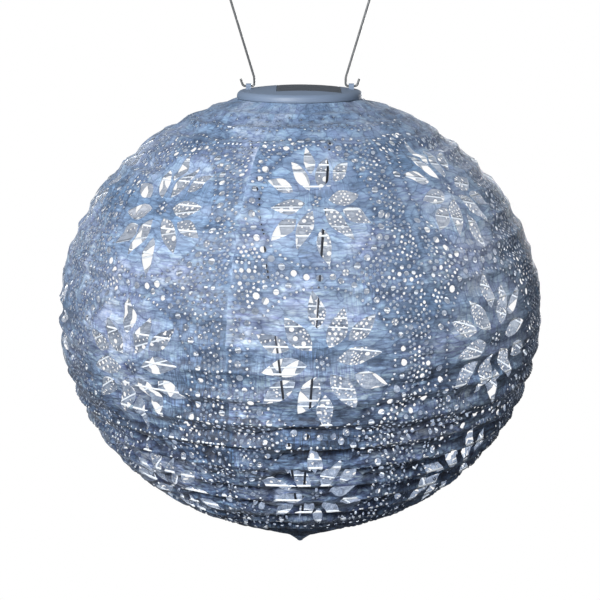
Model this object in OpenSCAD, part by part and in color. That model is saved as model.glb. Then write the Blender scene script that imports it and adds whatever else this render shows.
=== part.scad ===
// Hanging globe lantern: a die-cut sheet shade on wire hoops, held open by a wire expander
// under a snap-in solar cap, and hung from a wire bail.
// Millimetres. The origin is the hang point, on the wire at the top of the bail. +Z is up.

/* [Shade] */
// Widest diameter of the globe, over the sheet
globe_d = 305; // [250:1:360]
// Height of the upper ellipse above the globe's middle
globe_c = 139; // [120:1:150]
// Depth of the bottom point of the sheet below the globe's middle
apex_depth = 155; // [152:1:170]
// Intervals between hoops on the round part of the globe
round_steps = 22; // [16:1:24]
// Intervals between hoops on the cone at the bottom
cone_steps = 4; // [3:1:5]
// How far the sheet pulls in between two hoops
scallop = 1.0; // [0:0.1:2]
// Thickness that stands for the sheet
skin_t = 0.6; // [0.4:0.1:1]
// Diameter of the hoop wire over its white coating
hoop_wire_d = 1.2; // [0.8:0.1:1.6]

/* [Cap] */
// Outer diameter of the cap
cap_d = 78; // [76:1:84]
// Height of the cap's edge, from its shoulder to its lower rim
cap_edge_h = 4.46; // [4:0.01:6]
// Rise of the dome above the shoulder
dome_h = 2.8; // [2:0.1:3]
// Radius of the rounded shoulder
shoulder_r = 3.5; // [2:0.1:4]
// Width of the solar panel, along X
panel_w = 39; // [30:1:40]
// Length of the solar panel, along Y
panel_l = 48; // [40:1:49]
// Offset of the panel from the cap's centre, along X
panel_x = 5.4; // [0:0.1:6]
// Depth of the collar that plugs into the neck of the shade
collar_h = 20; // [18:1:26]

/* [Bail] */
// Height of the bail above its pivot, to the middle of its wire
bail_h = 150.9; // [120:0.1:180]
// Diameter of the bail wire
bail_wire_d = 1.4; // [1.2:0.1:1.8]
// Outward lean of the two legs, in degrees
bail_lean = 16.8; // [10:0.1:20]
// Distance of each lug from the cap's centre
lug_x = 31.7; // [30:0.1:33]

/* [Expander] */
// Diameter of the expander wire
expander_wire_d = 1.6; // [1.4:0.1:2]
// Distance of the expander's left leg from the axis at the cap
expander_left_x = 30.5; // [29:0.5:30.5]
// Distance of the expander's right leg from the axis at the cap
expander_right_x = 19; // [17:0.5:31]

/* [Hidden] */
$fn = 64;
part_gap = 0.3;      // gap between pieces that only pass or rest on each other
run_gap = 0.08;      // radial gap of the bail wire in its lugs

// --- levels, counted down from the hang point ---
pivot_z = -bail_h;
dome_top_z = pivot_z + 0.4;
shoulder_z = dome_top_z - dome_h;
rim_z = shoulder_z - cap_edge_h;
ceiling_z = dome_top_z - 4.3;
flange_top_z = ceiling_z - 1;
flange_bottom_z = rim_z + 0.4;
collar_bottom_z = flange_bottom_z - collar_h;
floor_t = 2;
floor_top_z = collar_bottom_z + floor_t;
neck_top_z = rim_z - part_gap;

// --- globe outline ---
globe_a = globe_d / 2;
neck_r = 39;
neck_angle = acos(neck_r / globe_a);
globe_z = neck_top_z - globe_c * sin(neck_angle);
// where a straight line from the bottom point touches the ellipse
touch_angle = -asin(globe_c / apex_depth);
touch_r = globe_a * cos(touch_angle);
touch_z = globe_c * sin(touch_angle);
cone_rise = (touch_z + apex_depth) / touch_r;
button_r = 7;
cone_normal = [cone_rise, -1] / norm([cone_rise, -1]);

// radius and height of the outline, and its outward normal, after s intervals from the neck
function on_round(s) = s <= round_steps;
function round_angle(s) = neck_angle + (touch_angle - neck_angle) * s / round_steps;
function cone_r(s) = touch_r + (button_r + 0.3 - touch_r) * (s - round_steps) / cone_steps;
function outline(s) = on_round(s)
    ? [globe_a * cos(round_angle(s)), globe_z + globe_c * sin(round_angle(s))]
    : [cone_r(s), globe_z - apex_depth + cone_rise * cone_r(s)];
function unit(v) = v / norm(v);
function normal(s) = on_round(s)
    ? unit([cos(round_angle(s)) / globe_a, sin(round_angle(s)) / globe_c])
    : cone_normal;
// half steps lie on the sheet between two hoops, where it pulls in
function dip(s) = s == floor(s) ? 0 : scallop;
function sheet_point(s, depth) = outline(s) - (dip(s) + depth) * normal(s);

steps = round_steps + cone_steps;
hoop_count = steps - 1;
hoop_depth = skin_t + part_gap + hoop_wire_d / 2;
// two digits, so that the names sort
function two_digits(n) = n < 10 ? str("0", n) : str(n);
function hoop_name(n) = str("hoop_", two_digits(n));

// --- colours ---
cap_blue = [0.47, 0.53, 0.61];
wire_grey = [0.28, 0.29, 0.31];
sheet_blue = [0.52, 0.62, 0.78];
coat_white = [0.94, 0.94, 0.93];
steel = [0.75, 0.76, 0.78];

// --- bail ---
weld_gap = 0.05;
lug_w = 3.2;
bail_r = bail_wire_d / 2;
inner_bend_r = 1.6;
outer_bend_r = 2;
lean_bend_r = 8;
tail_angle = 72;
tail_len = 3.2;
upright_len = 2.4;
bend_x = lug_x - lug_w / 2 - 0.3;        // where the inner bend starts
leg_x = bend_x - inner_bend_r;           // the leg's first, upright stretch
lean_start = [leg_x + lean_bend_r * (1 - cos(bail_lean)),
              inner_bend_r + upright_len + lean_bend_r * sin(bail_lean)];
foot_x = lean_start[0] - lean_start[1] * tan(bail_lean);
arch_r = (bail_h + foot_x / tan(bail_lean))
    / (cos(bail_lean) / tan(bail_lean) + sin(bail_lean) + 1);
arch_h = bail_h - arch_r;
leg_end = [arch_r * cos(bail_lean), arch_h - arch_r * sin(bail_lean)];

// a straight wire between two points of the XZ plane, which stops just short of both
module rod_xz(from, to, r) {
    d = to - from;
    start = from + weld_gap * d / norm(d);
    translate([start[0], 0, start[1]]) rotate([0, atan2(d[0], d[1]), 0])
        cylinder(h = norm(d) - 2 * weld_gap, r = r);
}
// the bead that joins two stretches of wire, barely thicker than they are
module bead_xz(p, r) translate([p[0], 0, p[1]]) sphere(r = 1.03 * r);
// a bent wire in the XZ plane, around a centre, from angle a0 through a degrees
module bend_xz(centre, bend_r, a0, a, r) {
    translate([centre[0], 0, centre[1]]) rotate([90, 0, 0]) rotate([0, 0, a0])
        rotate_extrude(angle = a) translate([bend_r, 0]) circle(r = r);
}

module bail_side() {
    tail_start = [lug_x + lug_w / 2 + 0.4, 0];
    tail_bend_end = tail_start + [outer_bend_r * sin(tail_angle), outer_bend_r * (1 - cos(tail_angle))];
    upright = [[leg_x, inner_bend_r], [leg_x, inner_bend_r + upright_len]];
    rod_xz(tail_bend_end, tail_bend_end + tail_len * [cos(tail_angle), sin(tail_angle)], bail_r);
    bend_xz([tail_start[0], outer_bend_r], outer_bend_r, -90, tail_angle, bail_r);
    rod_xz([bend_x, 0], tail_start, bail_r);
    bend_xz([bend_x, inner_bend_r], inner_bend_r, 180, 90, bail_r);
    rod_xz(upright[0], upright[1], bail_r);
    bend_xz(upright[1] + [lean_bend_r, 0], lean_bend_r, 180 - bail_lean, bail_lean, bail_r);
    rod_xz(lean_start, leg_end, bail_r);
    for (p = [tail_bend_end, tail_start, [bend_x, 0], upright[0], upright[1], lean_start, leg_end])
        bead_xz(p, bail_r);
}
module bail() color(wire_grey) translate([0, 0, pivot_z]) {
    bail_side();
    mirror([1, 0, 0]) bail_side();
    bend_xz([0, arch_h], arch_r, -bail_lean, 180 + 2 * bail_lean, bail_r);
}

// --- cap ---
cap_r = cap_d / 2;
cap_wall = 2;
dome_edge_r = cap_r - shoulder_r;
dome_r = (pow(dome_edge_r, 2) + pow(dome_h, 2)) / (2 * dome_h);
pocket_z = dome_top_z - 3.4;
cell_t = 0.15;          // cells in the panel's face
cell_drop = 0.05;       // how far the cells lie below the dome
screw_places = [[0, 29.5], [-24.4, -17], [24.4, -17]];
boss_r = 2.8;
screw_r = 1.1;
screw_head_r = 2.2;
screw_head_t = 1.6;
boss_split_z = ceiling_z - 5.6;
lead_places = [[-4, -12], [4, -12]];
lead_r = 0.6;

function dome_z(r) = dome_top_z - dome_r + sqrt(pow(dome_r, 2) - pow(r, 2));

// everything below the dome's curve, lowered by drop
module under_dome(drop) translate([0, 0, -drop]) rotate_extrude() polygon(concat(
    [[0, ceiling_z]],
    [for (i = [0 : 8]) let (r = dome_edge_r * i / 8) [r, dome_z(r)]],
    [[dome_edge_r, ceiling_z]]));

module cap_profile() polygon(concat(
    [[0, ceiling_z]],
    [for (i = [0 : 8]) let (r = dome_edge_r * i / 8) [r, dome_z(r)]],
    [for (a = [75 : -15 : 0]) [dome_edge_r + shoulder_r * cos(a),
                               shoulder_z - shoulder_r + shoulder_r * sin(a)]],
    [[cap_r, rim_z], [cap_r - cap_wall, rim_z], [cap_r - cap_wall, ceiling_z]]));

module lug() difference() {
    union() {
        rotate([0, 90, 0]) cylinder(h = lug_w, r = lug_w / 2, center = true);
        translate([-lug_w / 2, -lug_w / 2, -3]) cube([lug_w, lug_w, 3]);
    }
    rotate([0, 90, 0]) cylinder(h = lug_w + 1, r = bail_r + run_gap, center = true);
}
module cap_shell() color(cap_blue) {
    difference() {
        union() {
            rotate_extrude() cap_profile();
            for (p = screw_places)
                translate([p[0], p[1], boss_split_z])
                    cylinder(h = ceiling_z - boss_split_z + 0.5, r = boss_r);
        }
        translate([panel_x - panel_w / 2 - 0.2, -panel_l / 2 - 0.2, pocket_z])
            cube([panel_w + 0.4, panel_l + 0.4, 5]);
        for (p = lead_places) translate([p[0], p[1], ceiling_z - 1]) cylinder(h = 5, r = lead_r + 0.2);
        for (p = screw_places) translate([p[0], p[1], boss_split_z - 1]) cylinder(h = 5.6, r = screw_r);
        for (side = [-1, 1]) translate([side * lug_x, 0, pivot_z])
            rotate([0, 90, 0]) cylinder(h = lug_w + 0.4, r = bail_r + run_gap, center = true);
    }
    for (side = [-1, 1]) translate([side * lug_x, 0, pivot_z]) lug();
}

module solar_panel() color([0.16, 0.17, 0.2]) intersection() {
    translate([panel_x - panel_w / 2, -panel_l / 2, pocket_z]) cube([panel_w, panel_l, 5]);
    under_dome(cell_drop + cell_t + 0.02);
}

cell_rows = 6;
cell_margin = 1.5;
cell_gap = 0.8;
module solar_cells() color([0.1, 0.11, 0.16]) difference() {
    intersection() {
        cell_tiles();
        under_dome(cell_drop);
    }
    under_dome(cell_drop + cell_t);
}
module cell_tiles() {
    cell_w = (panel_w - 2 * cell_margin - cell_gap) / 2;
    cell_l = (panel_l - 2 * cell_margin - (cell_rows - 1) * cell_gap) / cell_rows;
    for (col = [0, 1], row = [0 : cell_rows - 1])
        translate([panel_x - panel_w / 2 + cell_margin + col * (cell_w + cell_gap),
                   -panel_l / 2 + cell_margin + row * (cell_l + cell_gap), pocket_z])
            cube([cell_w, cell_l, 5]);
}

module ring(z0, z1, r0, r1) translate([0, 0, z0]) difference() {
    cylinder(h = z1 - z0, r = r1);
    translate([0, 0, -1]) cylinder(h = z1 - z0 + 2, r = r0);
}
flange_r = cap_r - cap_wall - 0.3;
collar_r = 35;
collar_wall = 1.8;
module cap_gasket() color([0.15, 0.15, 0.16]) ring(flange_top_z, ceiling_z, flange_r - 2, flange_r);

// --- base of the cap, with the battery bay, the rails of its door and the expander sockets ---
bay_x = 26;
bay_y0 = 4.8;
bay_y1 = 16.2;
bay_wall = 1.2;
bay_top_z = floor_top_z + 12;
door_x = 27;
door_y0 = 3.6;
door_y1 = 17.4;
door_t = 1.7;
door_top_z = collar_bottom_z - 0.2;
rail_x = door_x + part_gap;
lens_place = [0, -5.5];
lens_r = 5.8;
switch_y = -20.5;
slot_x = 3.6;
slot_y = 1.5;
board_z = floor_top_z + 9.4;
board_t = 1.6;
post_places = [[-17, -5], [17, -5]];
clip_w = 8;
clip_reach = 0.7;
socket_h = 6;
expander_r = expander_wire_d / 2;
socket_places = [-expander_left_x, expander_right_x];

module door_rail() {
    translate([rail_x, door_y0, collar_bottom_z - 3.2])
        cube([30 - rail_x, door_y1 - door_y0, 3.2 + floor_t / 2]);
    translate([rail_x - 1.5, door_y0, collar_bottom_z - 3.2]) cube([2, door_y1 - door_y0, 1]);
}
module snap_clip() intersection() {
    ring(neck_top_z - 4.6, flange_top_z - 2, collar_r - 0.5, collar_r + clip_reach);
    translate([0, -clip_w / 2, neck_top_z - 6]) cube([cap_d, clip_w, 12]);
}
module cap_base() color(cap_blue) difference() {
    union() {
        ring(flange_bottom_z, flange_top_z, collar_r - collar_wall, flange_r);
        ring(collar_bottom_z, flange_top_z, collar_r - collar_wall, collar_r);
        translate([0, 0, collar_bottom_z]) cylinder(h = floor_t, r = collar_r - 0.5);
        for (p = screw_places)
            translate([p[0], p[1], collar_bottom_z])
                cylinder(h = boss_split_z - part_gap - collar_bottom_z, r = boss_r);
        for (p = post_places)
            translate([p[0], p[1], collar_bottom_z]) cylinder(h = board_z - collar_bottom_z, r = 1.8);
        translate([-bay_x - bay_wall, bay_y0 - bay_wall, collar_bottom_z])
            cube([2 * (bay_x + bay_wall), bay_y1 - bay_y0 + 2 * bay_wall, bay_top_z - collar_bottom_z]);
        for (side = [0, 1]) mirror([side, 0, 0]) door_rail();
        for (x = socket_places)
            translate([x, 0, collar_bottom_z]) cylinder(h = socket_h + 1, r = expander_r + 1.4);
        for (a = [90, 210, 330]) rotate([0, 0, a]) snap_clip();
    }
    translate([-bay_x, bay_y0, collar_bottom_z - 1]) cube([2 * bay_x, bay_y1 - bay_y0, collar_h + 2]);
    translate([lens_place[0], lens_place[1], collar_bottom_z - 1])
        cylinder(h = floor_t + 2, r = lens_r + 0.1);
    translate([-slot_x, switch_y - slot_y, collar_bottom_z - 1]) cube([2 * slot_x, 2 * slot_y, floor_t + 2]);
    for (p = screw_places) translate([p[0], p[1], collar_bottom_z - 1]) {
        cylinder(h = collar_h + 2, r = screw_r + 0.1);
        cylinder(h = screw_head_t + 1.1, r = screw_head_r + 0.2);
    }
    for (x = socket_places)
        translate([x, 0, collar_bottom_z - 1]) cylinder(h = socket_h + 1, r = expander_r + 0.05);
}

module battery_door() color(cap_blue) {
    translate([-door_x, door_y0, door_top_z - door_t]) cube([2 * door_x, door_y1 - door_y0, door_t]);
    // finger ribs
    for (i = [0 : 2]) translate([-5, door_y0 + 2 + 1.8 * i, door_top_z - door_t - 0.6]) cube([10, 0.9, 0.7]);
}

cell_r = 5.25;
cell_len = 44.5;
cell_x = bay_x - 1 - cell_len;      // the end of the battery on the spring's side
cell_z = floor_top_z - floor_t + 0.3 + cell_r;
cell_y = (bay_y0 + bay_y1) / 2;
module battery_cell() color([0.2, 0.45, 0.3]) translate([cell_x, cell_y, cell_z]) rotate([0, 90, 0]) {
    cylinder(h = cell_len - 1, r = cell_r);
    translate([0, 0, cell_len - 1]) cylinder(h = 1, r = 1.9);
}
module battery_contact() color(steel)
    translate([bay_x - 0.5, bay_y0 + 1, cell_z - 4]) cube([0.5, bay_y1 - bay_y0 - 2, 8]);

spring_turns = 3.5;
spring_wire_r = 0.35;
spring_steps = 16;
spring_sides = 6;
spring_len = cell_x + bay_x - 0.4 - 2 * spring_wire_r - 0.1;
spring_rings = spring_turns * spring_steps;
function spring_point(i, side) =
    let (f = i / spring_rings, a = 360 * i / spring_steps, w = 360 * side / spring_sides,
         r = 4.2 - 1.6 * f + spring_wire_r * cos(w))
    [r * cos(a), r * sin(a), spring_wire_r + spring_len * f + spring_wire_r * sin(w)];
module battery_spring() color(steel) {
    translate([-bay_x, bay_y0 + 1, cell_z - 4]) cube([0.4, bay_y1 - bay_y0 - 2, 8]);
    translate([-bay_x + 0.2, cell_y, cell_z]) rotate([0, 90, 0]) polyhedron(
        points = [for (i = [0 : spring_rings], s = [0 : spring_sides - 1]) spring_point(i, s)],
        faces = concat(
            [[for (s = [spring_sides - 1 : -1 : 0]) s]],
            [for (i = [0 : spring_rings - 1], s = [0 : spring_sides - 1])
                let (n = (s + 1) % spring_sides, b = i * spring_sides)
                [b + s, b + n, b + spring_sides + n, b + spring_sides + s]],
            [[for (s = [0 : spring_sides - 1]) spring_rings * spring_sides + s]]));
}

module circuit_board() color([0.1, 0.35, 0.2]) difference() {
    translate([-20, -25, board_z]) cube([40, 23, board_t]);
    for (p = lead_places) translate([p[0], p[1], board_z + board_t / 2]) cylinder(h = 2, r = lead_r);
}
led_r = 2.5;
led_bottom_z = floor_top_z + 1;
module led() color([0.95, 0.95, 0.85]) translate([lens_place[0], lens_place[1], led_bottom_z]) {
    translate([0, 0, led_r]) cylinder(h = board_z - led_bottom_z - led_r, r = led_r);
    intersection() {
        translate([0, 0, led_r]) sphere(r = led_r);
        cylinder(h = led_r + 0.1, r = led_r + 1);
    }
}
lens_wall = 1.2;
lens_drop = 3.5;
module led_lens() color([0.95, 0.95, 0.92]) translate([lens_place[0], lens_place[1], collar_bottom_z])
    difference() {
        union() {
            translate([0, 0, -lens_drop + 2]) cylinder(h = lens_drop - 2 + floor_t, r = lens_r);
            translate([0, 0, -lens_drop]) cylinder(h = 2, r1 = lens_r - 1.6, r2 = lens_r);
        }
        translate([0, 0, -lens_drop + lens_wall]) cylinder(h = 10, r = lens_r - lens_wall - 0.9);
    }
switch_body_h = 4.6;
module switch_body() color(steel) translate([-4.5, switch_y - 2.5, board_z - switch_body_h])
    cube([9, 5, switch_body_h]);
knob_x = 1.7;
knob_rest_x = -1.5;
module switch_slider() color([0.12, 0.12, 0.13]) {
    knob_top_z = board_z - switch_body_h - part_gap;
    translate([knob_rest_x - knob_x, switch_y - 1.2, collar_bottom_z - 1.8])
        cube([2 * knob_x, 2.4, knob_top_z - collar_bottom_z + 1.8]);
}
module cap_screws() color(steel) for (p = screw_places)
    translate([p[0], p[1], collar_bottom_z]) difference() {
    union() {
        translate([0, 0, 0.1]) cylinder(h = screw_head_t - 0.1, r = screw_head_r);
        cylinder(h = boss_split_z + 4 - collar_bottom_z, r = screw_r);
    }
    for (a = [0, 90]) rotate([0, 0, a]) translate([-1.3, -0.25, -0.1]) cube([2.6, 0.5, 0.9]);
}
module panel_leads() color([0.7, 0.15, 0.12]) for (p = lead_places)
    translate([p[0], p[1], board_z + board_t / 2]) cylinder(h = pocket_z - board_z - board_t / 2, r = lead_r);

// --- expander: one V of wire from the cap's sockets to the bottom button ---
tip_z = globe_z - apex_depth + 4.8;
tip_h = 8;
tip_r = 2.2;
fork_x = 0.9;
fork_z = tip_z + 4;
module expander() color(wire_grey) for (side = [-1, 1]) {
    knee = [side > 0 ? expander_right_x : -expander_left_x, collar_bottom_z - 2];
    foot = [side * fork_x, fork_z];
    rod_xz(knee, knee + [0, socket_h + 1.6], expander_r);
    bead_xz(knee, expander_r);
    rod_xz(foot, knee, expander_r);
    bead_xz(foot, expander_r);
    if (side > 0) rod_xz([-fork_x, fork_z], foot, expander_r);
}
module expander_tip() color([0.2, 0.2, 0.22]) difference() {
    union() {
        translate([0, 0, tip_z + tip_r]) cylinder(h = tip_h - tip_r, r = tip_r + 0.6);
        translate([0, 0, tip_z]) cylinder(h = tip_r, r1 = tip_r - 0.8, r2 = tip_r + 0.6);
    }
    // the wire's fork sits in a slot across the sleeve
    translate([-tip_r - 1, -expander_r - 0.05, fork_z - expander_r - 0.05])
        cube([2 * tip_r + 2, 2 * expander_r + 0.1, tip_h]);
}

// --- shade ---
neck_ring_h = 3;
module neck_ring() color(coat_white) ring(neck_top_z - neck_ring_h, neck_top_z, 36, neck_r - 0.9);

half_steps = 2 * steps;
module shade_skin() color(sheet_blue) rotate_extrude($fn = 128) polygon(concat(
    [for (i = [0 : half_steps]) sheet_point(i / 2, 0)],
    [for (i = [half_steps : -1 : 0]) sheet_point(i / 2, skin_t)]));

module hoop(n) color(coat_white) {
    p = sheet_point(n, hoop_depth);
    translate([0, 0, p[1]]) rotate_extrude($fn = 128) translate([p[0], 0]) circle(d = hoop_wire_d, $fn = 24);
}

button_top_z = tip_z - part_gap;
button_rim_t = 1.6;
nub_z = globe_z - apex_depth - 2;
module bottom_button() color(coat_white) {
    rotate_extrude() polygon([
        [0, button_top_z], [button_r, button_top_z], [button_r, button_top_z - button_rim_t],
        [2.4, nub_z + 1.4], [1.6, nub_z + 0.4], [0.8, nub_z], [0, nub_z]]);
    ring(button_top_z - 0.5, button_top_z + 4, tip_r + 0.9, tip_r + 2.1);
}

bail();
cap_shell();
solar_panel();
solar_cells();
cap_gasket();
cap_base();
battery_door();
battery_cell();
battery_spring();
battery_contact();
circuit_board();
led();
led_lens();
switch_body();
switch_slider();
cap_screws();
panel_leads();
expander();
expander_tip();
neck_ring();
shade_skin();
for (n = [1 : hoop_count]) hoop(n);
bottom_button();
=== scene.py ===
"""A hanging globe lantern: a die-cut sheet shade on wire hoops, a snap-in solar cap and a wire bail."""
import math

import bpy
import numpy as np
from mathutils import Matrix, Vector
from mathutils.geometry import delaunay_2d_cdt


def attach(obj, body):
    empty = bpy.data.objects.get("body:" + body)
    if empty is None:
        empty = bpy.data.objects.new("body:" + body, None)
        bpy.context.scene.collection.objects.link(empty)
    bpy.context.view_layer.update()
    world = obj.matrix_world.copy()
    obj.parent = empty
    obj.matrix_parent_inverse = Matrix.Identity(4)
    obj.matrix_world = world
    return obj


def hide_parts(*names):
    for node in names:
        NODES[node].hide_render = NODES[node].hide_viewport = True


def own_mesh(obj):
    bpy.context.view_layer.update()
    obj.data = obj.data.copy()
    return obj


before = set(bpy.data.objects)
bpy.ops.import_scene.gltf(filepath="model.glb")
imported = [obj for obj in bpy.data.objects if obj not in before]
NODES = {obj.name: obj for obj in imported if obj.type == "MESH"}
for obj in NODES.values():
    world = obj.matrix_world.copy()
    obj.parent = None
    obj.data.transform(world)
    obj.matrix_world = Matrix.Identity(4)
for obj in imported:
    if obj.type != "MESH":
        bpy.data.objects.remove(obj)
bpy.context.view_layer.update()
MM = 0.001

# ---------------------------------------------------------------- globe outline, in millimetres
GLOBE_A = 152.5
GLOBE_C = 139.0
APEX_DEPTH = 155.0
ROUND_STEPS = 22
CONE_STEPS = 4
STEPS = ROUND_STEPS + CONE_STEPS
NECK_R = 39.0
NECK_TOP_Z = -158.06
NECK_ANGLE = math.acos(NECK_R / GLOBE_A)
GLOBE_Z = NECK_TOP_Z - GLOBE_C * math.sin(NECK_ANGLE)
TOUCH_ANGLE = -math.asin(GLOBE_C / APEX_DEPTH)
TOUCH_R = GLOBE_A * math.cos(TOUCH_ANGLE)
CONE_RISE = (GLOBE_C * math.sin(TOUCH_ANGLE) + APEX_DEPTH) / TOUCH_R
LAST_R = 7.3

GORES = 8
GORE_W = 2 * math.pi * GLOBE_A / GORES
FIRST_LON = math.radians(-90 + 7)  # the middle of gore 0; the camera is on the side of -Y
ROW_PITCH = 93.5
# how far the cut-outs of each gore stand from its middle, and below the globe's equator
CUT_X = (-6.5, -11.0, -3.0, 2.0, 4.0, -2.0, 5.0, -2.7)
CUT_V = (-5.0, -6.0, -4.0, -7.0, 6.0, 3.0, -3.0, 6.0)
SHEET_T = 0.3
SHEET_IN = 0.15  # the sheet's outer face lies this far inside the outline at a hoop
SCALLOP = 1.4  # how far the sheet sags between two hoops
HOOP_DEPTH = 0.9  # the outer side of a hoop's wire lies this far inside the outline
WIRE_GAP = 0.05  # between the sheet's inner face and the wire
WIRE_FLAT = 0.2  # half width of the sheet that lies straight over the wire
WIRE_SLOPE = 1.3  # how fast the sheet may fall beside it
# painted shade round the dot holes
LACE_SHADE = 0.56  # how far the sheet darkens between close dots


def outline(s):
    """Radius, height and outward normal of the globe after s intervals from the neck."""
    s = np.asarray(s, float)
    a = NECK_ANGLE + (TOUCH_ANGLE - NECK_ANGLE) * np.minimum(s, ROUND_STEPS) / ROUND_STEPS
    cone_r = TOUCH_R + (LAST_R - TOUCH_R) * (s - ROUND_STEPS) / CONE_STEPS
    on_round = s <= ROUND_STEPS
    r = np.where(on_round, GLOBE_A * np.cos(a), cone_r)
    z = np.where(on_round, GLOBE_Z + GLOBE_C * np.sin(a), GLOBE_Z - APEX_DEPTH + CONE_RISE * cone_r)
    nr = np.where(on_round, np.cos(a) / GLOBE_A, CONE_RISE)
    nz = np.where(on_round, np.sin(a) / GLOBE_C, -1.0)
    k = np.hypot(nr, nz)
    return r, z, nr / k, nz / k


S_FINE = np.linspace(0, STEPS, 2601)
R_FINE, Z_FINE, NR_FINE, NZ_FINE = outline(S_FINE)
ARC_FINE = np.concatenate([[0], np.cumsum(np.hypot(np.diff(R_FINE), np.diff(Z_FINE)))])
ARC_LEN = float(ARC_FINE[-1])
EQUATOR = float(np.interp(-GLOBE_Z, -Z_FINE, ARC_FINE))


def radius_at(v):
    """Radius of the globe at arc v from the neck."""
    return np.interp(v, ARC_FINE, R_FINE)


def squeeze(v):
    """True width of a flat millimetre at arc v."""
    return radius_at(v) / GLOBE_A


# ---------------------------------------------------------------- cut-outs of one gore
# least widths of sheet: beside a seam, at the neck, at the foot and between two holes
EDGE = 1.0
NECK_EDGE = 3.0
FOOT_EDGE = 3.5
BETWEEN = 0.55
MOST_HELD = 9000  # room for the circles that stand for one gore's holes

PETALS = 12
PETAL_TURN = 8.0  # degrees
PETAL_KINDS = ((21.0, 25.5, 10.6), (29.5, 21.5, 9.8))  # how far out the middle is, length, width
PETAL_BEND = 0.9  # how far the middle of a petal stands off its line
PETAL_POINTS = 11  # along each side
MIDDLE_DOTS = 6
FINE_RING = (66, 41.5, 0.8)  # dots, radius of the ring, radius of a dot
BIG_RING = (37, 46.6, 1.6, 2.1)  # dots, radius of the ring, least and greatest radius of a dot
ROSETTE_X = 49.0

LACE_DOTS = [2.0] * 30 + [1.5] * 170  # radii of the scattered dots, the big ones first
LACE_HALF_W = 60
LACE_TOP = 50  # arc from the neck to the first lace
LACE_BELOW = 49  # how far the lace goes on below the lowest medallion's middle
LACE_CLEAR = 50.0  # how far it keeps from the middle of a medallion
LACE_RINGS = 26
LACE_FIRST_R = 50.9
LACE_RING_PITCH = 2.55
LACE_DOT_PITCH = 2.95
LACE_SHAKE = 0.3

# rows of dots right across a gore: arc, radius of a dot, pitch
NECK_ROWS = ((21.0, 0.8, 6.5), (30.0, 1.0, 4.2), (34.0, 0.8, 3.8), (45.0, 1.1, 4.4))
NECK_WAVE = 2.0
WAVE_LEN = 9.0  # flat millimetres to a radian
# the same on the cone, counted from the first of them
CONE_ROWS = ((0, 1.1, 4.6), (6, 1.9, 6.2), (13, 1.5, 5.4), (20, 1.0, 4.6), (31, 1.5, 5.6), (38, 0.9, 4.6))
CONE_FIRST = 52  # below the lowest medallion's middle


class Cuts:
    """The holes of one gore, as closed loops in true millimetres (x from the gore's middle, arc)."""

    def __init__(self, move_x):
        self.move_x = move_x
        self.loops = []
        self.is_dot = []
        self.held = np.zeros((MOST_HELD, 3))  # where the holes are and their radii
        self.count = 0

    def hold(self, x, v, r):
        """Note where a hole is, so that later ones keep clear of it."""
        self.held[self.count] = x, v, r
        self.count += 1

    def fits(self, x, v, r):
        """Whether a round hole leaves enough sheet on all sides."""
        if abs(x) + r + EDGE > GORE_W / 2 * squeeze(v):
            return False
        if not NECK_EDGE + r < v < ARC_LEN - FOOT_EDGE - r:
            return False
        held = self.held[:self.count]
        return bool((np.hypot(held[:, 0] - x, held[:, 1] - v) > held[:, 2] + r + BETWEEN).all())

    def dot(self, flat_x, v, r, points=8, turn=0.0):
        """A round hole, left out where it doesn't fit."""
        if not 0 < v < ARC_LEN:
            return
        x = (flat_x + self.move_x) * squeeze(v)
        if not self.fits(x, v, r):
            return
        a = turn + np.arange(points) * 2 * math.pi / points
        self.loops.append(np.stack([x + r * np.cos(a), v + r * np.sin(a)], 1))
        self.is_dot.append(True)
        self.hold(x, v, r)

    def petal(self, flat_x, v, angle, length, width, bend):
        """A pointed leaf along angle, in flat millimetres, its sides bent by bend."""
        flat_x = flat_x + self.move_x
        t = np.linspace(0, 1, PETAL_POINTS)
        along = (t - 0.5) * length
        half = width / 2 * np.sin(math.pi * t) ** 0.85 * (1 + 0.22 * np.cos(math.pi * t))
        mid = bend * np.sin(math.pi * t)
        side = np.concatenate([mid + half, (mid - half)[-2:0:-1]])
        run = np.concatenate([along, along[-2:0:-1]])
        c, w = math.cos(angle), math.sin(angle)
        y = v + run * w + side * c
        x = (flat_x + run * c - side * w) * squeeze(y)
        self.loops.append(np.stack([x, y], 1))
        self.is_dot.append(False)
        for k in range(1, PETAL_POINTS - 1):
            p = run[k] * c - mid[k] * w, run[k] * w + mid[k] * c
            self.hold((flat_x + p[0]) * squeeze(v + p[1]), v + p[1], max(0.6, half[k]))


def medallion(cuts, v0, rng):
    """Twelve petals round a small flower, inside a ring of tiny dots and a ring of big dots."""
    for k in range(PETALS):
        reach, length, width = PETAL_KINDS[k % 2]
        turn = math.radians(PETAL_TURN + 360 / PETALS * k + rng.uniform(-3, 3))
        length = length * rng.uniform(0.94, 1.06)
        width = width * rng.uniform(0.92, 1.08)
        bend = rng.choice([-1, 1]) * PETAL_BEND
        cuts.petal(reach * math.cos(turn), v0 - reach * math.sin(turn), -turn, length, width, bend)
    cuts.dot(0, v0, 1.35, 10)
    for k in range(MIDDLE_DOTS):
        a = math.radians(360 / MIDDLE_DOTS * k + 20)
        cuts.dot(3.4 * math.cos(a), v0 + 3.4 * math.sin(a), 0.85, 8)
    count, r, size = FINE_RING
    for k in range(count):
        a = 2 * math.pi * (k + rng.uniform(-0.15, 0.15)) / count
        cuts.dot(r * math.cos(a), v0 + r * math.sin(a), size, 6)
    count, r, least, most = BIG_RING
    for k in range(count):
        a = 2 * math.pi * (k + 0.3) / count
        cuts.dot(r * math.cos(a), v0 + r * math.sin(a), rng.uniform(least, most), 10)


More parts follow.
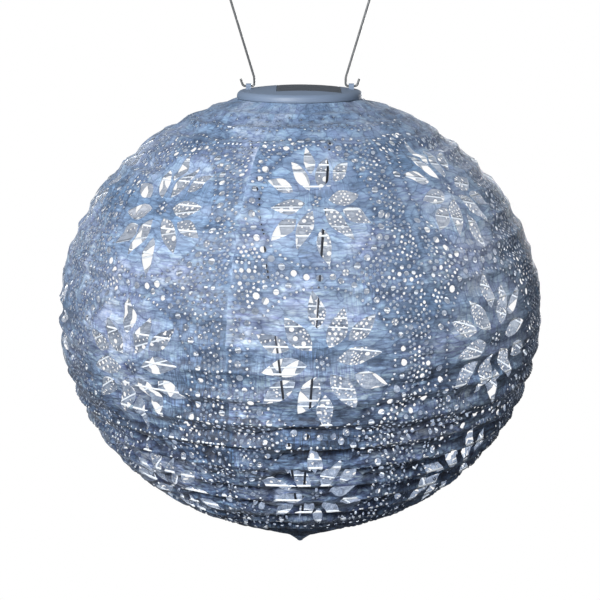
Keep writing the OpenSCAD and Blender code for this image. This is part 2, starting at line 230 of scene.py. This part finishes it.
def rosette(cuts, x, v):
    """A small flower of dots."""
    cuts.dot(x, v, 1.45, 8)
    for count, r, size, points, first in ((6, 4.3, 1.3, 8, 0), (12, 8.2, 0.9, 6, 15)):
        for k in range(count):
            a = math.radians(360 / count * k + first)
            cuts.dot(x + r * math.cos(a) / squeeze(v), v + r * math.sin(a), size, points)


def lace(cuts, rows, rng):
    """Dots of falling size between the medallions, packed wherever they still fit."""
    low, high = LACE_TOP, rows[-1] + LACE_BELOW
    tries = [(rng.uniform(-LACE_HALF_W, LACE_HALF_W), rng.uniform(low, high), size) for size in LACE_DOTS]
    for ring in range(LACE_RINGS):
        r = LACE_FIRST_R + LACE_RING_PITCH * ring
        count = int(2 * math.pi * r / LACE_DOT_PITCH)
        turns = 2 * math.pi * (np.arange(count) + 0.5 * (ring % 2)) / count
        for v0 in rows:
            for a in turns:
                x = cuts.move_x + r * math.cos(a) + rng.uniform(-LACE_SHAKE, LACE_SHAKE)
                v = v0 + r * math.sin(a) + rng.uniform(-LACE_SHAKE, LACE_SHAKE)
                if abs(x) < LACE_HALF_W + 1 and low < v < high:
                    tries.append((x, v, rng.uniform(0.8, 1.1)))
    for x, v, size in tries:
        if min(math.hypot(x - cuts.move_x, v - w) for w in rows) > LACE_CLEAR:
            cuts.dot(x - cuts.move_x, v, size, 8 if size > 1.3 else 6, rng.uniform(0, 1))


def dot_row(cuts, v, size, pitch, wave):
    """A row of dots right across the gore, that swings up and down by wave."""
    n = max(2, int(GORE_W * squeeze(v) / pitch))
    for k in range(n):
        x = ((k + 0.5) / n - 0.5) * GORE_W
        cuts.dot(x - cuts.move_x, v + wave * math.cos(x / WAVE_LEN), size, 8)


def gore_cuts(index):
    """All the cut-outs of one gore."""
    rng = np.random.RandomState(11)
    cuts = Cuts(CUT_X[index])
    middle = EQUATOR + CUT_V[index]
    rows = [middle - ROW_PITCH, middle, middle + ROW_PITCH]
    for v0 in rows:
        medallion(cuts, v0, rng)
    for v0 in (middle - ROW_PITCH / 2, middle + ROW_PITCH / 2):
        for side in (-1, 1):
            rosette(cuts, side * ROSETTE_X - CUT_X[index] * 0.6, v0)
    lace(cuts, rows, rng)
    for v, size, pitch in NECK_ROWS:
        dot_row(cuts, v, size, pitch, NECK_WAVE)
    for below, size, pitch in CONE_ROWS:
        dot_row(cuts, rows[-1] + CONE_FIRST + below, size, pitch, 0)
    return cuts


# ---------------------------------------------------------------- flat mesh of one gore
COL_STEP = 3.0  # width of a column in the rows of points
END_COLS = 3  # columns at the foot
ROW_PARTS = (0, 0.07, 0.2, 0.35, 0.5, 0.65, 0.8, 0.93)  # rows of points in each interval between hoops
PER_HOOP = len(ROW_PARTS)
HOLE_CLEAR = 0.7  # how far the rows' points keep from a hole
# owners of the flat mesh's points that lie on no hole
BORDER = -1
GRID = -2
NO_OWNER = -3


def inside(loop, points):
    """Which points lie inside the closed loop."""
    x, y = points[:, 0, None], points[:, 1, None]
    x0, y0 = loop[:, 0], loop[:, 1]
    x1, y1 = np.roll(x0, -1), np.roll(y0, -1)
    crosses = (y0 > y) != (y1 > y)
    with np.errstate(divide="ignore", invalid="ignore"):
        at = x0 + (y - y0) * (x1 - x0) / (y1 - y0)
    return (crosses & (x < at)).sum(1) % 2 == 1


def gore_border(levels, half):
    """Points round one gore: along the neck, down one seam, along the foot and up the other seam."""
    rows = len(levels) - 1
    cols_top = max(3, int(2 * half[0] / COL_STEP))
    border = [(x, 0.0) for x in np.linspace(-half[0], half[0], cols_top + 1)]
    border += [(half[k], levels[k]) for k in range(1, rows + 1)]
    border += [(x, ARC_LEN) for x in np.linspace(half[-1], -half[-1], END_COLS + 1)[1:]]
    border += [(-half[k], levels[k]) for k in range(rows - 1, 0, -1)]
    return border


def gore_grid(levels, half, cuts):
    """Points inside one gore, in rows, clear of its holes."""
    grid = []
    for k in range(1, len(levels) - 1):
        # rows on and beside a hoop share their columns, so that the sheet lies straight over the wire
        hoop = PER_HOOP * round(k / PER_HOOP)
        like = hoop if abs(k - hoop) <= 1 else k
        n = max(2, int(round(2 * half[like] / COL_STEP)))
        shift = 0.25 if like % 2 or like % (2 * PER_HOOP) == PER_HOOP else -0.25
        grid += [(-half[k] + 2 * half[k] * (c + shift) / n, levels[k]) for c in range(1, n)]
    grid = np.array(grid)
    keep = np.ones(len(grid), bool)
    for x, v, r in cuts.held[:cuts.count]:
        keep &= np.hypot(grid[:, 0] - x, grid[:, 1] - v) > r + HOLE_CLEAR
    return grid[keep]


def flat_gore(index):
    """One flat gore: points (x, arc), triangles, 1 at points round dots, area, number of holes."""
    cuts = gore_cuts(index)
    steps = [k + part for k in range(STEPS) for part in ROW_PARTS]
    levels = np.append(np.interp(steps, S_FINE, ARC_FINE), ARC_LEN)
    half = GORE_W / 2 * squeeze(levels)
    points = gore_border(levels, half)
    edges = [(k, (k + 1) % len(points)) for k in range(len(points))]
    owner = [BORDER] * len(points)
    for n, loop in enumerate(cuts.loops):
        start = len(points)
        points += [tuple(p) for p in loop]
        owner += [n] * len(loop)
        edges += [(start + k, start + (k + 1) % len(loop)) for k in range(len(loop))]
    grid = gore_grid(levels, half, cuts)
    points += [tuple(p) for p in grid]
    owner += [GRID] * len(grid)
    out = delaunay_2d_cdt([Vector(p) for p in points], edges, [], 0, 1e-5)
    flat = np.array([tuple(p) for p in out[0]])
    tris = np.array([tuple(f) for f in out[2]])
    own = np.array([owner[o[0]] if len(o) else NO_OWNER for o in out[3]])
    # drop what lies beyond the seams or in a hole; a triangle in a hole has only that hole's points
    middle = flat[tris].mean(1)
    good = np.abs(middle[:, 0]) < GORE_W / 2 * squeeze(middle[:, 1]) - 1e-4
    t = own[tris]
    same = (t[:, 0] == t[:, 1]) & (t[:, 1] == t[:, 2]) & (t[:, 0] >= 0)
    for n in np.unique(t[same, 0]):
        candidates = np.nonzero(same & (t[:, 0] == n))[0]
        good[candidates[inside(cuts.loops[n], middle[candidates])]] = False
    tris = tris[good]
    # turn all triangles one way and drop those without area
    a, b, c = flat[tris[:, 0]], flat[tris[:, 1]], flat[tris[:, 2]]
    turn = (b[:, 0] - a[:, 0]) * (c[:, 1] - a[:, 1]) - (b[:, 1] - a[:, 1]) * (c[:, 0] - a[:, 0])
    tris[turn < 0] = tris[turn < 0][:, ::-1]
    tris = tris[np.abs(turn) > 1e-7]
    used = np.unique(tris)
    renumber = -np.ones(len(flat), int)
    renumber[used] = np.arange(len(used))
    area = np.abs(turn).sum() / 2
    dots = np.append(np.array(cuts.is_dot, float), 0)
    at_dot = np.where(own >= 0, dots[own], 0)
    return flat[used], renumber[tris], at_dot[used], area, len(cuts.loops)


# ---------------------------------------------------------------- folds and crinkles
# every noise has its cells' size round the globe and along the arc, in millimetres, and a seed
LINE_DEPTH = 3.3  # of the level folds, in millimetres
DIAGONAL_DEPTH = 0.8


def noise(lon, v, cell_x, cell_v, seed):
    """Smooth noise from -1 to 1 that closes round the globe."""
    n = max(3, int(round(2 * math.pi * GLOBE_A / cell_x)))
    m = int(ARC_LEN / cell_v) + 3
    grid = np.random.RandomState(seed).uniform(-1, 1, (m, n))
    x = (lon / (2 * math.pi)) % 1.0 * n
    y = v / cell_v
    i, j = np.floor(x).astype(int), np.floor(y).astype(int)
    fx, fy = x - i, y - j
    fx, fy = fx * fx * (3 - 2 * fx), fy * fy * (3 - 2 * fy)
    i0, i1 = i % n, (i + 1) % n
    top = grid[j, i0] * (1 - fx) + grid[j, i1] * fx
    low = grid[j + 1, i0] * (1 - fx) + grid[j + 1, i1] * fx
    return top * (1 - fy) + low * fy


def creases(lon, v, cell_x, cell_v, seed, width=0.16):
    """Thin lines from 0 to 1 where smooth noise passes zero."""
    wander = 0.35 * cell_v * noise(lon, v, cell_x * 0.6, cell_v * 1.5, seed + 50)
    n = noise(lon, v + wander, cell_x, cell_v, seed)
    return np.clip(1 - np.abs(n) / width, 0, 1) ** 1.3


def sheet_depth(lon, v):
    """How far the sheet lies inside the outline, and how deep its creases are from 0 to 1, which also sets
    their painted shade.
    """
    s = np.interp(v, ARC_FINE, S_FINE)
    free = np.abs(np.sin(math.pi * s))
    lower = np.clip((v - EQUATOR + 30) / 90, 0, 1)
    upper = np.clip(1 - v / 150, 0, 1)
    sag = SCALLOP * (1.0 + 0.5 * lower) * np.clip(1.0 + 1.1 * noise(lon, v, 55, 15, 3), 0.1, 2.2)
    long_lines = creases(lon, v, 75, 9.0, 5, 0.16) * (0.50 + 0.50 * lower)
    sharp_lines = creases(lon, v, 46, 7.0, 31, 0.13) * (0.20 + 0.80 * lower)
    short_lines = creases(lon, v, 34, 6.0, 6, 0.16) * (0.35 + 0.55 * lower)
    patch = np.clip(0.55 + 0.35 * lower + 0.9 * noise(lon, v, 90, 40, 7), 0, 1)
    lines = np.maximum(np.maximum(long_lines, short_lines) * patch, sharp_lines)
    falling = creases(lon + v / 190.0, v, 55, 30, 12, 0.07)
    rising = creases(lon - v / 230.0, v, 60, 34, 14, 0.06)
    diagonal = np.clip(falling + rising, 0, 1) * (0.35 + 0.65 * upper)
    crumple = 0.55 * noise(lon, v, 12, 5.5, 8) + 0.30 * noise(lon, v, 6.0, 4.0, 9)
    crumple = crumple * (1 + 0.5 * lower)
    depth = sag * free ** 0.8 + (LINE_DEPTH * lines + crumple) * (0.15 + 0.85 * free)
    depth = SHEET_IN + depth + DIAGONAL_DEPTH * diagonal * (0.3 + 0.7 * free)
    # over a hoop the sheet stays outside the wire
    beside = np.abs(s - np.round(s)) * ARC_LEN / STEPS
    over_wire = HOOP_DEPTH - SHEET_T - WIRE_GAP + WIRE_SLOPE * np.maximum(beside - WIRE_FLAT, 0)
    return np.minimum(depth, over_wire), np.clip(1.2 * lines + 0.45 * diagonal, 0, 1)


def place(lon, v, depth):
    """Points in metres, depth millimetres inside the outline."""
    r = np.interp(v, ARC_FINE, R_FINE)
    z = np.interp(v, ARC_FINE, Z_FINE)
    nr = np.interp(v, ARC_FINE, NR_FINE)
    nz = np.interp(v, ARC_FINE, NZ_FINE)
    r = r - depth * nr
    z = z - depth * nz
    return np.stack([r * np.cos(lon), r * np.sin(lon), z], 1) * MM


def rim_edges(tris):
    """The edges that belong to one triangle only, in its direction."""
    e = np.concatenate([tris[:, [0, 1]], tris[:, [1, 2]], tris[:, [2, 0]]])
    key = np.sort(e, 1)
    _, first, count = np.unique(key, axis=0, return_index=True, return_counts=True)
    return e[first[count == 1]]


def sheet_mesh(name, outer, inner, tris, rim):
    """A closed mesh of two layers, joined at every rim. Slot 0 is the outer layer, slot 1 the rest."""
    n = len(outer)
    # x runs with the longitude and the arc runs down, so the flat's own turn faces inwards
    out_faces = tris[:, ::-1]
    in_faces = tris + n
    walls = np.concatenate([np.stack([rim[:, 0], rim[:, 1], rim[:, 1] + n], 1),
                            np.stack([rim[:, 0], rim[:, 1] + n, rim[:, 0] + n], 1)])
    faces = np.concatenate([out_faces, in_faces, walls])
    mesh = bpy.data.meshes.new(name)
    mesh.vertices.add(2 * n)
    mesh.vertices.foreach_set("co", np.concatenate([outer, inner]).astype(np.float32).ravel())
    mesh.loops.add(3 * len(faces))
    mesh.loops.foreach_set("vertex_index", faces.astype(np.int32).ravel())
    mesh.polygons.add(len(faces))
    mesh.polygons.foreach_set("loop_start", np.arange(0, 3 * len(faces), 3, dtype=np.int32))
    slots = np.zeros(len(faces), np.int32)
    slots[len(out_faces):] = 1
    mesh.polygons.foreach_set("material_index", slots)
    mesh.update(calc_edges=True)
    mesh.validate()
    # the layers are smooth, with a sharp edge at every rim
    pairs = np.zeros(2 * len(mesh.edges), np.int32)
    mesh.edges.foreach_get("vertices", pairs)
    pairs = np.sort(pairs.reshape(-1, 2), 1)
    side = np.sort(rim, 1)
    key = (2 * n, 1)
    sharp = np.isin(pairs @ key, np.concatenate([side, side + n]) @ key)
    mesh.edges.foreach_set("use_edge_sharp", sharp)
    smooth = np.zeros(len(mesh.polygons), bool)
    smooth[:len(out_faces) + len(in_faces)] = True
    mesh.polygons.foreach_set("use_smooth", smooth)
    return mesh, faces


def make_gore(index, flat, tris, rim, at_dot, materials):
    """One gore of the shade, from the flat cut."""
    name = f"shade_gore_{index + 1}"
    lon = FIRST_LON + index * 2 * math.pi / GORES + flat[:, 0] / radius_at(flat[:, 1])
    depth, lines = sheet_depth(lon, flat[:, 1])
    # painted shade in the creases and round the dot holes, carried to the material in an attribute
    lines = np.maximum(lines, LACE_SHADE * at_dot)
    outer = place(lon, flat[:, 1], depth)
    inner = place(lon, flat[:, 1], depth + SHEET_T)
    mesh, faces = sheet_mesh(name, outer, inner, tris, rim)
    uv = mesh.uv_layers.new(name="sheet")
    flat_uv = np.stack([(lon - FIRST_LON) * GLOBE_A, flat[:, 1]], 1) * MM
    flat_uv = np.concatenate([flat_uv, flat_uv])
    uv.data.foreach_set("uv", flat_uv[faces.ravel()].astype(np.float32).ravel())
    crease_shade = mesh.attributes.new("crease_shade", "FLOAT", "POINT")
    crease_shade.data.foreach_set("value", np.concatenate([lines, lines]).astype(np.float32))
    for m in materials:
        mesh.materials.append(m)
    obj = bpy.data.objects.new(name, mesh)
    bpy.context.collection.objects.link(obj)
    return obj


# ---------------------------------------------------------------- materials
FACETS = (80, 210, 1)  # per metre round the globe and along the arc
FACET_WANDER = 0.010
# colour of the painted shade along a thin fold
FOLD_SHADE = (0.18, 0.22, 0.30, 1)
# painted shade of thin folds in the material: cells per metre, turn, width
WRINKLE_SHADES = (((26, 150, 1), 0.0, 0.055), ((55, 230, 1), 0.06, 0.05),
            ((45, 90, 1), 0.6, 0.03), ((45, 90, 1), -0.7, 0.03))
# painted shade: the sheet is darker towards the neck and the foot
ALONG_SHADE = [(0.0, (0.56, 0.62, 0.68, 1)), (0.12, (0.68, 0.74, 0.79, 1)), (0.33, (0.98, 0.98, 0.98, 1)),
         (0.55, (0.80, 0.84, 0.88, 1)), (0.72, (0.74, 0.81, 0.90, 1)), (1.0, (0.66, 0.74, 0.86, 1))]


def new_material(name):
    m = bpy.data.materials.new(name)
    m.use_nodes = True
    m.node_tree.nodes.clear()
    return m, m.node_tree.nodes, m.node_tree.links


def srgb(r, g, b):
    """A linear colour from display values of 0 to 255."""
    def lin(c):
        c /= 255
        return c / 12.92 if c <= 0.04045 else ((c + 0.055) / 1.055) ** 2.4
    return lin(r), lin(g), lin(b), 1.0


def grey(value):
    return value, value, value, 1


def graded(m, source, stops):
    """The socket source through a colour ramp with these stops."""
    node = m.node_tree.nodes.new("ShaderNodeValToRGB")
    for _ in range(len(stops) - 2):
        node.color_ramp.elements.new(0.5)
    for e, (at, colour) in zip(node.color_ramp.elements, stops):
        e.position = at
        e.color = colour
    m.node_tree.links.new(source, node.inputs["Fac"])
    return node.outputs["Color"]


def mixed(m, kind, factor, first, second):
    """A colour mix; factor, first and second are sockets or plain values."""
    node = m.node_tree.nodes.new("ShaderNodeMixRGB")
    node.blend_type = kind
    for key, value in (("Fac", factor), ("Color1", first), ("Color2", second)):
        if isinstance(value, bpy.types.NodeSocket):
            m.node_tree.links.new(value, node.inputs[key])
        else:
            node.inputs[key].default_value = value
    return node.outputs["Color"]


def sheet_uv(m):
    """Place on the flat sheet, in metres."""
    coords = m.node_tree.nodes.new("ShaderNodeUVMap")
    coords.uv_map = "sheet"
    return coords.outputs["UV"]


def mapped(m, source, scale, turn, texture):
    """Feed the node texture with the coordinates source, in cells per metre along each axis."""
    stretch = m.node_tree.nodes.new("ShaderNodeMapping")
    stretch.inputs["Scale"].default_value = scale
    stretch.inputs["Rotation"].default_value = (0, 0, turn)
    m.node_tree.links.new(source, stretch.inputs["Vector"])
    m.node_tree.links.new(stretch.outputs["Vector"], texture.inputs["Vector"])


def mapped_noise(m, scale, detail, roughness, turn=0.0, source=None):
    """Noise on the flat sheet, or over the coordinates source."""
    tex = m.node_tree.nodes.new("ShaderNodeTexNoise")
    tex.inputs["Scale"].default_value = 1.0
    tex.inputs["Detail"].default_value = detail
    tex.inputs["Roughness"].default_value = roughness
    mapped(m, sheet_uv(m) if source is None else source, scale, turn, tex)
    return tex


def facets(m, feature):
    """Facets of crumpled sheet, with wandering borders."""
    nodes, links = m.node_tree.nodes, m.node_tree.links
    drift = mapped_noise(m, (120, 170, 1), 2.0, 0.6)
    shift = nodes.new("ShaderNodeVectorMath")
    shift.operation = "MULTIPLY_ADD"
    shift.inputs[1].default_value = (FACET_WANDER, FACET_WANDER * 0.6, 0)
    links.new(drift.outputs["Color"], shift.inputs[0])
    links.new(sheet_uv(m), shift.inputs[2])
    cells = nodes.new("ShaderNodeTexVoronoi")
    cells.feature = feature
    cells.inputs["Scale"].default_value = 1.0
    mapped(m, shift.outputs["Vector"], FACETS, 0.2, cells)
    return cells


def arc_share(m):
    """0 at the neck, 1 at the foot."""
    nodes, links = m.node_tree.nodes, m.node_tree.links
    split = nodes.new("ShaderNodeSeparateXYZ")
    share = nodes.new("ShaderNodeMapRange")
    share.inputs["From Max"].default_value = ARC_LEN * MM
    links.new(sheet_uv(m), split.inputs["Vector"])
    links.new(split.outputs["Y"], share.inputs["Value"])
    return share.outputs["Result"]


def sheet_tone(m, tones, contrast):
    """The sheet's colour with painted light and shade of its streaks, crumbs, facets and thin folds,
    without its modelled creases, and the height of its grain.
    """
    patches = mapped_noise(m, (14, 24, 1), 3.0, 0.6)
    light, mid, dark = tones
    base = graded(m, patches.outputs["Fac"], [(0.32, dark), (0.50, mid), (0.68, light)])
    # level streaks in most places, upright ribs in patches, as painted light and shade and as bump
    streak = mapped_noise(m, (110, 760, 1), 3.0, 0.65)
    rib = mapped_noise(m, (1000, 110, 1), 2.0, 0.55)
    where = mapped_noise(m, (13, 20, 1), 1.0, 0.5)
    ribbed = graded(m, where.outputs["Fac"], [(0.48, grey(0)), (0.60, grey(1))])
    fine = mixed(m, "MIX", ribbed, streak.outputs["Fac"], rib.outputs["Fac"])
    streak_shading = graded(m, fine, [(0.32, grey(0.08)), (0.68, grey(0.92))])
    crumbs = mapped_noise(m, (230, 420, 1), 4.0, 0.7)
    crumb_shading = graded(m, crumbs.outputs["Fac"], [(0.36, grey(0.12)), (0.64, grey(0.88))])
    cell = facets(m, "F1")
    facet_shading = graded(m, cell.outputs["Color"], [(0.1, grey(0.22)), (0.9, grey(0.80))])
    border = facets(m, "DISTANCE_TO_EDGE")
    facet_edge_shade = graded(m, border.outputs["Distance"], [(0.0, (0.34, 0.38, 0.46, 1)), (0.09, grey(1))])
    # painted light and shade: the crinkles' streaks, crumbs and facets over the print, darker along the
    # facets' edges and along thin folds
    sharp = mixed(m, "OVERLAY", contrast, base, streak_shading)
    sharp = mixed(m, "OVERLAY", contrast * 0.6, sharp, crumb_shading)
    sharp = mixed(m, "OVERLAY", contrast * 0.7, sharp, facet_shading)
    sharp = mixed(m, "MULTIPLY", contrast * 0.8, sharp, facet_edge_shade)
    # painted shade: a dark line along each thin fold
    for scale, turn, width in WRINKLE_SHADES:
        wrinkle = mapped_noise(m, scale, 2.5, 0.55, turn)
        stops = [(0.5 - width, grey(0.72)), (0.5, FOLD_SHADE), (0.5 + width * 0.5, grey(1))]
        fold_shade_line = graded(m, wrinkle.outputs["Fac"], stops)
        sharp = mixed(m, "MULTIPLY", contrast, sharp, fold_shade_line)
    # the same painted light and shade, weaker, without the thin folds
    calm = mixed(m, "OVERLAY", contrast * 0.45, base, streak_shading)
    calm = mixed(m, "OVERLAY", contrast * 0.55, calm, facet_shading)
    calm = mixed(m, "MULTIPLY", contrast, calm, facet_edge_shade)
    # painted shade: calm above, sharply creased below
    lower = graded(m, arc_share(m), [(0.15, grey(0.25)), (0.40, grey(0.55)), (0.54, grey(1))])
    tone = mixed(m, "MIX", lower, calm, sharp)
    # painted shade towards the neck and the foot
    tone = mixed(m, "MULTIPLY", 1.0, tone, graded(m, arc_share(m), ALONG_SHADE))
    height = mixed(m, "MIX", 0.5, fine, cell.outputs["Distance"])
    height = mixed(m, "MIX", 0.35, height, crumbs.outputs["Fac"])
    return tone, height


def bumped(m, height, strength, distance):
    """A normal from the socket height."""
    bump = m.node_tree.nodes.new("ShaderNodeBump")
    bump.inputs["Strength"].default_value = strength
    bump.inputs["Distance"].default_value = distance
    m.node_tree.links.new(height, bump.inputs["Height"])
    return bump.outputs["Normal"]


def sheet_material(name, tones, crease_shade_colour, share, contrast, bump_mm):
    """Washed, crinkled sheet: mottled print, painted light and shade of its streaks, facets and creases,
    and light through it.
    """
    m, nodes, links = new_material(name)
    out = nodes.new("ShaderNodeOutputMaterial")
    body = nodes.new("ShaderNodeBsdfPrincipled")
    body.inputs["Roughness"].default_value = 0.62
    body.inputs["Sheen Weight"].default_value = 0.1
    through = nodes.new("ShaderNodeBsdfTranslucent")
    mix = nodes.new("ShaderNodeMixShader")
    mix.inputs[0].default_value = share
    tone, height = sheet_tone(m, tones, contrast)
    crease_shade = nodes.new("ShaderNodeAttribute")
    crease_shade.attribute_name = "crease_shade"
    # painted shade: the colour darkens in the creases and round the dot holes
    dim = mixed(m, "MULTIPLY", crease_shade.outputs["Fac"], tone, crease_shade_colour)
    normal = bumped(m, height, 0.8, bump_mm * MM)
    links.new(dim, body.inputs["Base Color"])
    links.new(dim, through.inputs["Color"])
    links.new(normal, body.inputs["Normal"])
    links.new(normal, through.inputs["Normal"])
    links.new(body.outputs["BSDF"], mix.inputs[1])
    links.new(through.outputs["BSDF"], mix.inputs[2])
    links.new(mix.outputs["Shader"], out.inputs["Surface"])
    return m


def moulded(name, colour, roughness, grain=0.12, grain_scale=900.0, metallic=0.0, vary=0.08, coat=0.0):
    """Plastic, metal or resin with a fine grain in its colour, roughness and surface."""
    m, nodes, links = new_material(name)
    out = nodes.new("ShaderNodeOutputMaterial")
    body = nodes.new("ShaderNodeBsdfPrincipled")
    body.inputs["Metallic"].default_value = metallic
    body.inputs["Coat Weight"].default_value = coat
    place_on = nodes.new("ShaderNodeTexCoord").outputs["Object"]
    fine = mapped_noise(m, (grain_scale,) * 3, 2.0, 0.5, source=place_on)
    broad = mapped_noise(m, (38.0,) * 3, 3.0, 0.5, source=place_on)
    dark = tuple(c * (1 - vary) for c in colour[:3]) + (1,)
    light = tuple(min(1, c * (1 + vary)) for c in colour[:3]) + (1,)
    links.new(graded(m, broad.outputs["Fac"], [(0.3, dark), (0.7, light)]), body.inputs["Base Color"])
    rough = nodes.new("ShaderNodeMapRange")
    rough.inputs["To Min"].default_value = max(0.03, roughness - 0.08)
    rough.inputs["To Max"].default_value = min(1, roughness + 0.1)
    links.new(broad.outputs["Fac"], rough.inputs["Value"])
    links.new(rough.outputs["Result"], body.inputs["Roughness"])
    links.new(bumped(m, fine.outputs["Fac"], grain, 0.0002), body.inputs["Normal"])
    links.new(body.outputs["BSDF"], out.inputs["Surface"])
    return m


def finish_nodes():
    """A material for every CAD node that stays."""
    cap = moulded("cap_plastic", srgb(100, 115, 136), 0.5, 0.25, 1400, vary=0.04)
    wire = moulded("bail_wire", srgb(94, 96, 98), 0.42, 0.1, metallic=0.5, vary=0.1)
    table = {
        "bail": wire,
        "cap_shell": cap,
        "cap_base": moulded("collar_plastic", srgb(206, 211, 217), 0.5, 0.2, 1400, vary=0.03),
        "battery_door": cap,
        "solar_panel": moulded("panel_resin", srgb(62, 69, 77), 0.45, 0.03),
        "solar_cells": moulded("cells", srgb(55, 61, 70), 0.42, 0.03),
        "cap_gasket": moulded("gasket_rubber", srgb(40, 40, 42), 0.8),
        "battery_cell": moulded("battery_jacket", srgb(50, 110, 80), 0.3, coat=0.4),
        "battery_spring": moulded("spring_steel", srgb(200, 200, 202), 0.3, metallic=1.0),
        "battery_contact": moulded("contact_steel", srgb(200, 200, 202), 0.35, metallic=1.0),
        "circuit_board": moulded("board", srgb(30, 96, 60), 0.45),
        "led": moulded("led_resin", srgb(238, 236, 214), 0.15),
        "led_lens": moulded("lens_plastic", srgb(236, 238, 236), 0.35),
        "switch_body": moulded("switch_metal", srgb(190, 192, 196), 0.35, metallic=1.0),
        "switch_slider": moulded("knob_plastic", srgb(34, 34, 36), 0.5),
        "cap_screws": moulded("screw_steel", srgb(180, 181, 184), 0.3, metallic=1.0),
        "panel_leads": moulded("lead_jacket", srgb(170, 34, 28), 0.45),
        "expander": moulded("expander_wire", srgb(56, 58, 64), 0.42, metallic=0.6),
        "expander_tip": moulded("tip_plastic", srgb(44, 45, 50), 0.5),
        "neck_ring": moulded("ring_plastic", srgb(104, 122, 148), 0.5),
        "bottom_button": moulded("button_plastic", srgb(112, 130, 158), 0.45),
    }
    coat = moulded("hoop_coat", srgb(206, 211, 216), 0.45, vary=0.03)
    for name, node in NODES.items():
        material = table.get(name, coat if name.startswith("hoop_") else None)
        if material is None:
            continue
        if node.data.materials:
            for k in range(len(node.data.materials)):
                node.data.materials[k] = material
        else:
            node.data.materials.append(material)


# ---------------------------------------------------------------- shade
def make_shade():
    """The eight gores. Only the outer face is printed; the back is the bare pale sheet."""
    printed = srgb(192, 202, 226), srgb(154, 176, 205), srgb(112, 142, 176)
    bare = srgb(214, 217, 222), srgb(196, 201, 209), srgb(178, 185, 196)
    # the second colour of each material is its painted shade in the creases and round the dot holes
    outside = sheet_material("sheet_print_and_shade", printed, (0.10, 0.14, 0.23, 1), share=0.08, contrast=0.7,
                             bump_mm=0.9)
    inner = sheet_material("sheet_back", bare, (0.60, 0.64, 0.72, 1), share=0.3, contrast=0.35, bump_mm=0.5)
    for index in range(GORES):
        flat, tris, at_dot, area, holes = flat_gore(index)
        rim = rim_edges(tris)
        print("gore", index, len(flat), "points", len(tris), "triangles", holes, "holes", round(area, 1))
        gore = make_gore(index, flat, tris, rim, at_dot, (outside, inner))
        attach(gore, "shade")
        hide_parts("shade_skin")
        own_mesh(gore)


# ---------------------------------------------------------------- world, lights and camera
# strength of the dome's light from above and from below
DOME_ABOVE = 0.31
DOME_BELOW = 0.10
# name, place in metres, size, power
AREA_LIGHTS = (("key", (-0.85, -1.68, 0.65), 0.6, 70),
               ("fill", (1.4, -1.5, 0.1), 1.0, 5),
               ("back", (0.5, 1.5, -0.3), 0.6, 26))
LAMP_POWER = 1.05
LAMP_DROP = 10  # below the middle of the globe, in millimetres

CAMERA_D = 0.950  # metres from the middle of the globe
CAMERA_ELEVATION = math.radians(13.0)
LENS = 89.2
SENSOR = 36
SHIFT_Y = 0.0155


def make_world():
    """White as the camera sees it; for the rest of the light a soft dome, bright above, dim below."""
    world = bpy.data.worlds.new("studio")
    bpy.context.scene.world = world
    world.use_nodes = True
    nodes, links = world.node_tree.nodes, world.node_tree.links
    nodes.clear()
    out = nodes.new("ShaderNodeOutputWorld")
    path = nodes.new("ShaderNodeLightPath")
    seen = nodes.new("ShaderNodeBackground")
    seen.inputs["Color"].default_value = (1, 1, 1, 1)
    lit = nodes.new("ShaderNodeBackground")
    lit.inputs["Color"].default_value = (0.92, 0.96, 1.0, 1)
    coords = nodes.new("ShaderNodeTexCoord")
    split = nodes.new("ShaderNodeSeparateXYZ")
    level = nodes.new("ShaderNodeMapRange")
    level.inputs["From Min"].default_value = -0.4
    level.inputs["From Max"].default_value = 0.6
    level.inputs["To Min"].default_value = DOME_BELOW
    level.inputs["To Max"].default_value = DOME_ABOVE
    links.new(coords.outputs["Generated"], split.inputs["Vector"])
    links.new(split.outputs["Z"], level.inputs["Value"])
    links.new(level.outputs["Result"], lit.inputs["Strength"])
    mix = nodes.new("ShaderNodeMixShader")
    links.new(path.outputs["Is Camera Ray"], mix.inputs[0])
    links.new(lit.outputs["Background"], mix.inputs[1])
    links.new(seen.outputs["Background"], mix.inputs[2])
    links.new(mix.outputs["Shader"], out.inputs["Surface"])


def area_light(name, place_at, size, power):
    """A round light aimed at the middle of the globe."""
    data = bpy.data.lights.new(name, "AREA")
    data.shape = "DISK"
    data.size = size
    data.energy = power
    obj = bpy.data.objects.new(name, data)
    obj.location = place_at
    obj.rotation_mode = "QUATERNION"
    aim = Vector((0, 0, GLOBE_Z * MM))
    obj.rotation_quaternion = (aim - Vector(place_at)).to_track_quat("-Z", "Y")
    bpy.context.collection.objects.link(obj)


def inner_light():
    """The soft light that fills the shade from all its holes, as one hidden lamp in its middle."""
    data = bpy.data.lights.new("inside", "POINT")
    data.energy = LAMP_POWER
    data.shadow_soft_size = 0.05
    obj = bpy.data.objects.new("inside", data)
    obj.location = (0, 0, (GLOBE_Z - LAMP_DROP) * MM)
    obj.visible_camera = False
    bpy.context.collection.objects.link(obj)


def make_lights():
    for light in AREA_LIGHTS:
        area_light(*light)
    inner_light()


def make_camera():
    """In front of the globe and a little above it, aimed at its middle."""
    data = bpy.data.cameras.new("camera")
    data.lens = LENS
    data.sensor_width = SENSOR
    data.shift_y = SHIFT_Y
    data.clip_start = 0.01
    data.clip_end = 100
    cam = bpy.data.objects.new("camera", data)
    bpy.context.collection.objects.link(cam)
    centre = Vector((0, 0, GLOBE_Z * MM))
    back = Vector((0, -math.cos(CAMERA_ELEVATION), math.sin(CAMERA_ELEVATION)))
    cam.location = centre + back * CAMERA_D
    cam.rotation_mode = "QUATERNION"
    cam.rotation_quaternion = (-back).to_track_quat("-Z", "Y")
    bpy.context.scene.camera = cam


make_camera()
make_world()
make_lights()
finish_nodes()
make_shade()
bpy.context.scene.view_settings.view_transform = "Standard"
